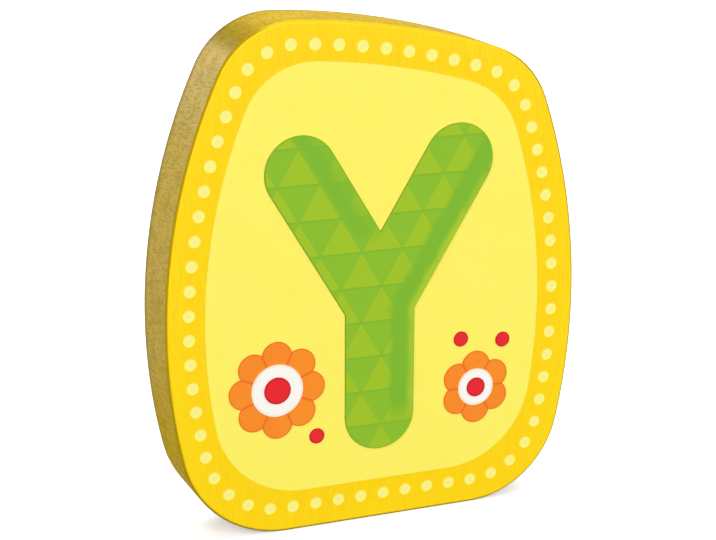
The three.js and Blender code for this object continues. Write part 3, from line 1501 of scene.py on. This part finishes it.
SATIN = 0.44
GLOSSY = 0.38
WOOD = StainedWood("stained_wood", "wood", roughness=0.62, specular=0.03)
CREAM = DotLacquer(
    "cream_dots", "cream_lacquer", SATIN, main=linear(255, 246, 128), cloud=linear(250, 240, 132)
)
GOLD = GoldenLacquer("golden_film", "golden_lacquer", SATIN)
LEMON = Lacquer(
    "lemon_film", "lemon_lacquer", SATIN,
    main=linear(255, 243, 104), cloud=linear(254, 240, 98), cloud_share=0.6, grain_share=0.25,
)
LIGHT_GREEN = LetterLacquer(
    "light_green_film", "light_green_lacquer", SATIN,
    main=linear(157, 194, 34), cloud=linear(159, 192, 36), rim=linear(136, 156, 28),
)
LEAF_GREEN = LatticeLacquer(
    "leaf_green_film", "leaf_green_lacquer", SATIN,
    main=linear(138, 188, 41), cloud=linear(133, 185, 42),
)
ORANGE = Lacquer(
    "orange_film", "orange_lacquer", SATIN,
    main=linear(247, 136, 36), cloud=linear(250, 149, 34), rim=linear(236, 108, 32),
)
WHITE = Lacquer(
    "white_film", "white_lacquer", SATIN,
    main=linear(253, 250, 246), cloud=linear(252, 247, 238), rim=linear(248, 236, 214),
)
RED = Lacquer(
    "red_film", "red_lacquer", GLOSSY,
    main=linear(228, 30, 45), cloud=linear(235, 44, 46), rim=linear(196, 20, 38),
)


# Sub-assemblies


@dataclass
class PrintDepths:
    """Depths of the printed films along Y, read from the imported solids, in millimetres."""

    board_front: float
    board_back: float
    base: float
    ground: float
    motif: float
    pattern: float
    heart: float

    @classmethod
    def from_frame(cls) -> PrintDepths:
        """Reads where each film's front lies.

        Returns:
            The depths.
        """

        def front(node: str) -> float:
            """Gives the front of a solid."""
            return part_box(node)[0].y * PER_MM

        return cls(
            board_front=front("board"),
            board_back=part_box("board")[1].y * PER_MM,
            base=front("base_coat"),
            ground=front("border_band"),
            motif=front("letter"),
            pattern=front("letter_lattice"),
            heart=front("left_flower_heart"),
        )


class SubAssembly(ABC):
    """A group of pieces that belong together."""

    @abstractmethod
    def build(self, depths: PrintDepths) -> None:
        """Builds the pieces, dresses them and hands them over.

        Args:
            depths: Depths of the printed films.
        """

    @staticmethod
    def hand_over(piece: bpy.types.Object, finish: Finish, *nodes: str) -> None:
        """Dresses a piece, fixes it to the tile and reports it.

        Args:
            piece: The finished piece.
            finish: Its finish.
            nodes: Solids that it stands for.
        """
        finish.dress(piece)
        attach(piece, "root")
        if nodes:
            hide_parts(*nodes)
        LOG.info("%s: %d faces", piece.name, len(piece.data.polygons))


@dataclass
class Board(SubAssembly):
    """The solid wood board, with its edges eased all round."""

    outline: TileOutline = field(default_factory=TileOutline)
    edge_round: float = 0.25
    edge_steps: int = 4

    def build(self, depths: PrintDepths) -> None:
        """Fills the outline, gives it the board's thickness and eases its edges.

        Args:
            depths: Depths of the printed films.
        """
        bench = Bench.sheet("wooden_board", self.outline.stretches(0.0), depths.board_front)
        bench.thicken(depths.board_back - depths.board_front)
        bench.soften(self.edge_round, self.edge_steps)
        self.hand_over(bench.deliver(), WOOD, "board")


@dataclass
class GroundPrint(SubAssembly):
    """The print's ground: base coat with its dots, golden border and lemon panel."""

    outline: TileOutline = field(default_factory=TileOutline)
    edge: float = 0.25
    dot_diameter: float = 1.68
    dot_gap: float = 1.68
    dot_outer_margin: float = 2.45
    dot_inner_margin: float = 1.4
    first_dot_offset: float = 1.44
    dot_rise: float = 0.06
    dot_lap: float = 0.03
    dot_sides: int = 28
    dot_corners: Corners = Corners(8.4, 9.2, 10.1, 11.2)
    panel_corners: Corners = Corners(10.0, 10.9, 12.6, 12.7)
    panel_round: float = 0.03
    print_shift: tuple[float, float] = (-0.13, 0.2)
    film: float = 0.08
    border_roll: tuple[tuple[float, float], ...] = (
        (0.02, 0.065), (0.04, 0.050), (0.06, 0.030), (0.10, 0.015),
    )

    @property
    def panel_stretches(self) -> list[Stretch]:
        """Outline of the lemon panel."""
        inset = self.dot_outer_margin + self.dot_diameter + self.dot_inner_margin
        return self.outline.stretches(inset, self.panel_corners, Vector(self.print_shift))

    @property
    def dot_centres(self) -> list[Vector]:
        """Middles of the dots, along a line that follows the board's sides.

        Returns:
            The middles, at even steps.
        """
        inset = self.dot_outer_margin + self.dot_diameter / 2
        line = self.outline.stretches(inset, self.dot_corners, Vector(self.print_shift))
        return points_along(line, self.first_dot_offset, self.dot_diameter + self.dot_gap)

    def build(self, depths: PrintDepths) -> None:
        """Builds the three films of the ground.

        Args:
            depths: Depths of the printed films.
        """
        self.build_base(depths)
        self.build_border(depths)
        self.build_panel(depths)

    def build_base(self, depths: PrintDepths) -> None:
        """Lays the base coat and sets one low, round dot on it at each opening.

        Args:
            depths: Depths of the printed films.
        """
        dots = Bench("dots")
        radius = self.dot_diameter / 2 + self.dot_lap
        centres = self.dot_centres
        bpy.ops.mesh.primitive_circle_add(
            vertices=self.dot_sides, radius=radius, fill_type="TRIFAN",
            location=(centres[0].x, depths.base, centres[0].y),
            rotation=(QUARTER_TURN, 0.0, 0.0),
        )
        dots.mark("rim", lambda vertex: 1.0 if vertex.is_boundary else 0.0)
        bpy.ops.mesh.select_all(action="SELECT")
        dots.repeat(centres)
        bpy.ops.mesh.select_all(action="SELECT")
        bpy.ops.mesh.extrude_region_move(
            TRANSFORM_OT_translate={"value": (0.0, -self.dot_rise, 0.0)}
        )
        bpy.ops.object.mode_set(mode="OBJECT")
        bench = Bench.sheet("cream_base", self.outline.stretches(2.0 * self.edge), depths.base)
        bench.mark("rim", lambda vertex: 1.0)
        bench.thicken(self.film)
        bench.join(dots)
        self.hand_over(bench.deliver(), CREAM, "base_coat")

    def build_border(self, depths: PrintDepths) -> None:
        """Rolls the golden film over at the board's edge, and opens it at the dots and the panel.

        Args:
            depths: Depths of the printed films.
        """
        edge = self.outline.stretches(self.edge)
        bench = Bench.sheet("golden_border", edge, depths.board_front)
        for thickness, rise in self.border_roll:
            bench.step_in(thickness, rise)
        bpy.ops.mesh.delete(type="ONLY_FACE")
        radius = self.dot_diameter / 2
        for centre in self.dot_centres:
            bench.draw(circle(centre, radius), depths.ground)
        bench.draw(self.panel_stretches, depths.ground)
        bench.pick_edges(
            lambda edge: all(abs(v.co.y - depths.ground) < SAME_POINT for v in edge.verts)
        )
        bpy.ops.mesh.fill(use_beauty=True)
        bench.face_reader()
        bench.thicken(self.film)
        self.hand_over(bench.deliver(), GOLD, "border_band")

    def build_panel(self, depths: PrintDepths) -> None:
        """Lays the lemon panel into the border's opening.

        Args:
            depths: Depths of the printed films.
        """
        bench = Bench.sheet("lemon_panel", self.panel_stretches, depths.ground)
        bench.thicken(self.film)
        bench.soften(self.panel_round)
        self.hand_over(bench.deliver(), LEMON, "centre_panel")


@dataclass
class Letter(SubAssembly):
    """The letter: a light green film, and a darker one that is open at each light triangle."""

    sizes: LetterSizes = field(default_factory=LetterSizes)
    film: float = 0.08
    recess: float = 0.012
    edge_line: float = 0.09
    facet_edge: float = 0.22
    roomy: float = 3.5
    few_corners: int = 5
    cut_over: float = 0.2
    cut_short: float = 0.05

    def build(self, depths: PrintDepths) -> None:
        """Builds the light film with its raised triangles, and the darker film round them.

        Args:
            depths: Depths of the printed films.
        """
        facets = self.facets(depths)
        bench = Bench.sheet("green_letter", self.sizes.stretches(0.0), depths.motif)
        bench.rim_line(2.0 * self.edge_line)
        bench.thicken(self.film)
        bench.join(self.raised(facets, depths))
        self.hand_over(bench.deliver(), LIGHT_GREEN, "letter")
        lattice = self.prism("green_lattice", self.edge_line, depths.pattern, self.film)
        lattice.combine(facets, Overlap.REMOVE)
        self.hand_over(lattice.deliver(), LEAF_GREEN, "letter_lattice")

    def raised(self, facets: Bench, depths: PrintDepths) -> Bench:
        """Gives the light triangles as low raised fields that fill the darker film's openings.

        Args:
            facets: The triangles that are cut out of the darker film.
            depths: Depths of the printed films.

        Returns:
            The raised fields, on the bench.
        """
        fields = facets.copy("fields")
        fields.edit()
        fields.pick_faces(lambda face: not faces_reader(face))
        bpy.ops.mesh.delete(type="FACE")
        bpy.ops.mesh.select_all(action="SELECT")
        front = fields.shape.verts[:][0].co.y
        level = depths.pattern + self.recess
        bpy.ops.transform.translate(value=(0.0, level - front, 0.0))
        fields.pick_faces(
            lambda face: face.calc_area() > self.roomy and len(face.verts) <= self.few_corners
        )
        bpy.ops.mesh.inset(thickness=self.facet_edge, use_individual=True)
        fields.mark("facet_edge", self.on_ring)
        fields.thicken(self.film - self.recess)
        return fields

    @staticmethod
    def on_ring(vertex: bmesh.types.BMVert) -> float:
        """Gives one on the outer line of a ring round the selected faces, and zero elsewhere."""
        near = any(edge.other_vert(vertex).select for edge in vertex.link_edges)
        return float(near and not vertex.select)

    def prism(self, name: str, inset: float, front: float, thickness: float) -> Bench:
        """Gives the letter as a solid.

        Args:
            name: Name of the piece.
            inset: How much thinner its strokes are drawn.
            front: Depth of its front.
            thickness: Its thickness.

        Returns:
            The solid, on the bench.
        """
        bench = Bench.sheet(name, self.sizes.stretches(inset), front)
        bench.thicken(thickness)
        return bench

    def apexes(self) -> list[Vector]:
        """Lays out the upright triangles in rows that are moved half a width by turns.

        Returns:
            The apex of each triangle.
        """
        sizes = self.sizes
        reach = sizes.arm + sizes.stroke
        rows_down = math.ceil((sizes.stem + sizes.stroke + sizes.facet_rise) / sizes.facet_height)
        rows_up = math.ceil(reach / sizes.facet_height) + 1
        along = math.ceil(reach / sizes.facet_width) + 1
        apexes = []
        for row in range(-rows_down, rows_up + 1):
            start = sizes.shift + sizes.facet_shift + (row % 2) * sizes.facet_width / 2
            height = sizes.fork_height + sizes.facet_rise + row * sizes.facet_height
            for step in range(-along, along + 1):
                apexes.append(Vector((start + step * sizes.facet_width, height)))
        return apexes

    def facets(self, depths: PrintDepths) -> Bench:
        """Gives the light triangles that lie on the letter and are large enough.

        Args:
            depths: Depths of the printed films.

        Returns:
            The triangles as solids that reach through the darker film.
        """
        sizes = self.sizes
        front = depths.pattern - self.cut_over
        thickness = self.film + 2.0 * self.cut_over
        apexes = self.apexes()
        facets = Bench.sheet("facets", sizes.facet_stretches(apexes[0]), front)
        facets.repeat(apexes)
        facets.thicken(thickness)
        short = self.cut_short
        inner = self.prism("inner", sizes.rim, front + short, thickness - 2.0 * short)
        facets.combine(inner, Overlap.KEEP)
        self.drop_slivers(facets)
        return facets

    def drop_slivers(self, facets: Bench) -> None:
        """Deletes the triangles of which too little lies on the letter.

        Args:
            facets: The triangles as solids.
        """
        facets.edit()
        seen: set[int] = set()
        slivers: set[int] = set()
        for face in facets.shape.faces:
            if face.index in seen:
                continue
            island, queue, area = set(), [face], 0.0
            while queue:
                here = queue.pop()
                if here.index in island:
                    continue
                island.add(here.index)
                if faces_reader(here):
                    area += here.calc_area()
                queue.extend(near for edge in here.edges for near in edge.link_faces)
            seen |= island
            if area < self.sizes.smallest_facet:
                slivers |= island
        facets.pick_faces(lambda face: face.index in slivers)
        bpy.ops.mesh.delete(type="FACE")
        bpy.ops.object.mode_set(mode="OBJECT")


@dataclass
class Flower(SubAssembly):
    """A printed flower: round petals, a white disc and a red heart."""

    side: Hand
    centre: Vector
    petals: int
    reach: float
    notch: float
    disc: float
    heart: float
    film: float = 0.08
    petal_line: float = 0.30
    disc_line: float = 0.5
    heart_line: float = 0.4

    @property
    def petal_stretches(self) -> list[Stretch]:
        """Outline of the petals, which meet in notches.

        Returns:
            One bow for each petal, anticlockwise from the top.
        """
        half_angle = HALF_TURN / self.petals
        ring = (self.reach**2 - self.notch**2) / (
            2.0 * (self.reach - self.notch * math.cos(half_angle))
        )
        sweep = math.atan2(
            self.notch * math.sin(half_angle), self.notch * math.cos(half_angle) - ring
        )
        stretches: list[Stretch] = []
        for index in range(self.petals):
            angle = QUARTER_TURN + 2.0 * half_angle * index
            centre = self.centre + ring * toward(angle)
            stretches.append(
                Bow(centre, self.reach - ring, angle - sweep, angle + sweep, finest=0.3)
            )
        return stretches

    def build(self, depths: PrintDepths) -> None:
        """Lays the three films of the flower.

        Args:
            depths: Depths of the printed films.
        """
        layers = (
            ("petals", self.petal_stretches, depths.motif, ORANGE, self.petal_line),
            ("disc", circle(self.centre, self.disc), depths.pattern, WHITE, self.disc_line),
            ("heart", circle(self.centre, self.heart), depths.heart, RED, self.heart_line),
        )
        for part, stretches, depth, finish, line in layers:
            bench = Bench.sheet(f"{part}_{self.side.value}", stretches, depth)
            if part == "petals":
                self.part_petals(bench, depth)
            bench.rim_line(line)
            bench.thicken(self.film)
            self.hand_over(bench.deliver(), finish, f"{self.side.value}_flower_{part}")

    def part_petals(self, bench: Bench, depth: float) -> None:
        """Parts the petals by cuts through opposite notches.

        Args:
            bench: The petals' sheet.
            depth: Depth of its plane.
        """
        step = FULL_TURN / self.petals
        for index in range(self.petals // 2):
            notch = QUARTER_TURN + (index + 0.5) * step
            bpy.ops.mesh.select_all(action="SELECT")
            bpy.ops.mesh.bisect(
                plane_co=(self.centre.x, depth, self.centre.y),
                plane_no=(-math.sin(notch), 0.0, math.cos(notch)),
            )
        bpy.ops.mesh.select_all(action="SELECT")


@dataclass
class Berry(SubAssembly):
    """A loose printed berry."""

    side: Hand
    number: int
    centre: Vector
    radius: float
    film: float = 0.08
    line: float = 0.3

    def build(self, depths: PrintDepths) -> None:
        """Lays the berry's film.

        Args:
            depths: Depths of the printed films.
        """
        name = f"berry_{self.side.value}_{self.number}"
        bench = Bench.sheet(name, circle(self.centre, self.radius), depths.motif)
        bench.rim_line(self.line)
        bench.thicken(self.film)
        self.hand_over(bench.deliver(), RED, f"{self.side.value}_berry_{self.number}")


@dataclass
class Ornament(SubAssembly):
    """A flower on each side of the letter's stem, with loose berries."""

    outline: TileOutline = field(default_factory=TileOutline)
    letter: LetterSizes = field(default_factory=LetterSizes)
    panel_inset: float = 5.53
    berry_radius: float = 1.1
    berry_gap: float = 1.3
    left_height: float = 20.7
    right_height: float = 17.4
    left_berries: tuple[float, ...] = (-52.0,)
    right_berries: tuple[float, ...] = (58.0, 108.0)

    def flower_centre(self, height: float, hand: Hand) -> Vector:
        """Finds the place midway from the stem to the border.

        Args:
            height: Its height above the foot.
            hand: On which side of the stem.

        Returns:
            The place, in millimetres.
        """
        stem_edge = self.letter.shift + hand.way * self.letter.stroke / 2
        panel_edge = hand.way * (self.outline.width / 2 - self.panel_inset)
        return Vector(((stem_edge + panel_edge) / 2, height))

    def build(self, depths: PrintDepths) -> None:
        """Builds both flowers and their berries.

        Args:
            depths: Depths of the printed films.
        """
        left = Flower(
            Hand.LEFT, self.flower_centre(self.left_height, Hand.LEFT),
            petals=8, reach=6.9, notch=5.6, disc=3.7, heart=1.9,
        )
        right = Flower(
            Hand.RIGHT, self.flower_centre(self.right_height, Hand.RIGHT),
            petals=6, reach=5.3, notch=4.2, disc=2.7, heart=1.4,
        )
        for flower, angles in ((left, self.left_berries), (right, self.right_berries)):
            flower.build(depths)
            distance = flower.reach + self.berry_gap + self.berry_radius
            for number, angle in enumerate(angles, start=1):
                centre = flower.centre + distance * toward(math.radians(angle))
                Berry(flower.side, number, centre, self.berry_radius).build(depths)


# Studio


@dataclass(frozen=True)
class Softbox:
    """A large soft lamp."""

    name: str
    place: Triple
    size: float
    power: float

    def hang(self, target: Vector) -> None:
        """Hangs the lamp and turns it to the tile.

        Args:
            target: Place that it points at, in metres.
        """
        bpy.ops.object.light_add(type="AREA", location=self.place)
        lamp = bpy.context.object
        lamp.name = self.name
        lamp.data.shape = "DISK"
        lamp.data.size = self.size
        lamp.data.energy = self.power
        way = target - Vector(self.place)
        lamp.rotation_euler = way.to_track_quat("-Z", "Y").to_euler()


@dataclass
class Studio:
    """Pale floor, soft light and the camera."""

    look_azimuth: float = math.radians(22.4435)
    look_down: float = math.radians(16.0605)
    roll: float = math.radians(0.2435)
    aim: tuple[float, float] = (-2.927, 36.356)
    distance: float = 263.06
    lens: float = 98.12
    sensor: float = 36.0
    near_clip: float = 0.01
    floor_size: float = 8.0
    floor_grey: float = 0.22
    floor_roughness: float = 0.9
    floor_glow: float = 0.35
    sky: float = 0.60
    lamp_target: Triple = (0.0, 0.0, 0.035)
    lamps: tuple[Softbox, ...] = (
        Softbox("key", (0.50, -1.95, 0.80), 1.4, 25.0),
        Softbox("fill", (-1.60, -0.90, 0.90), 1.2, 11.0),
        Softbox("overhead", (0.40, 1.50, 1.35), 1.4, 17.0),
    )

    def set_up(self, depths: PrintDepths) -> None:
        """Sets up everything around the tile.

        Args:
            depths: Depths of the printed films.
        """
        self.place_camera(depths)
        self.lay_floor()
        self.light_sky()
        for lamp in self.lamps:
            lamp.hang(Vector(self.lamp_target))
        bpy.context.scene.view_settings.view_transform = "Standard"

    def place_camera(self, depths: PrintDepths) -> None:
        """Looks at the printed face from the left and a little from above.

        Args:
            depths: Depths of the printed films.
        """
        turn = (
            Matrix.Rotation(-self.look_azimuth, 4, "Z")
            @ Matrix.Rotation(QUARTER_TURN - self.look_down, 4, "X")
            @ Matrix.Rotation(self.roll, 4, "Z")
        )
        aim = Vector((self.aim[0], depths.ground, self.aim[1])) * MM
        forward = turn.to_3x3() @ Vector((0.0, 0.0, -1.0))
        bpy.ops.object.camera_add()
        camera = bpy.context.object
        camera.name = "camera"
        camera.matrix_world = Matrix.Translation(aim - forward * self.distance * MM) @ turn
        camera.data.lens = self.lens
        camera.data.sensor_width = self.sensor
        camera.data.sensor_fit = "HORIZONTAL"
        camera.data.clip_start = self.near_clip
        bpy.context.scene.camera = camera

    def lay_floor(self) -> None:
        """Lays a pale floor that the camera sees as white where no shadow falls."""
        bpy.ops.mesh.primitive_plane_add(size=self.floor_size)
        floor = bpy.context.object
        floor.name = "floor"
        material = bpy.data.materials.new("pale_floor")
        material.use_nodes = True
        sheet = NodeSheet(material.node_tree)
        shader = material.node_tree.nodes["Principled BSDF"]
        shader.inputs["Roughness"].default_value = self.floor_roughness
        shader.inputs["Specular IOR Level"].default_value = 0.0
        seen = self.seen_directly(sheet)
        grey = (self.floor_grey,) * 3 + (1.0,)
        sheet.feed(shader.inputs["Base Color"], sheet.blend(seen, grey, PURE_WHITE))
        sheet.feed(shader.inputs["Emission Color"], PURE_WHITE)
        sheet.feed(shader.inputs["Emission Strength"], sheet.both(seen, self.floor_glow))
        floor.data.materials.append(material)

    def light_sky(self) -> None:
        """Lights the tile softly from all round, in front of a white background."""
        world = bpy.data.worlds.new("studio")
        world.use_nodes = True
        bpy.context.scene.world = world
        sheet = NodeSheet(world.node_tree)
        background = world.node_tree.nodes["Background"]
        seen = self.seen_directly(sheet)
        sheet.feed(background.inputs["Color"], PURE_WHITE)
        sheet.feed(background.inputs["Strength"], sheet.spread(seen, self.sky, 1.0))

    @staticmethod
    def seen_directly(sheet: NodeSheet) -> Socket:
        """Tells what is looked at, also in mirrors and glass, from what lights the tile.

        Args:
            sheet: The node tree of the floor or the sky.

        Returns:
            One where it is looked at, and zero where it gives light.
        """
        rays = sheet.add("ShaderNodeLightPath").outputs
        shown = sheet.either(rays["Is Camera Ray"], rays["Is Glossy Ray"])
        return sheet.either(shown, rays["Is Transmission Ray"])


def main() -> None:
    """Builds the tile in order and sets it in the studio."""
    logging.basicConfig(level=logging.INFO, format="%(name)s: %(message)s")
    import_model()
    depths = PrintDepths.from_frame()
    for part in (Board(), GroundPrint(), Letter(), Ornament()):
        part.build(depths)
    Studio().set_up(depths)
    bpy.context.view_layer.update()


if __name__ == "__main__":
    main()
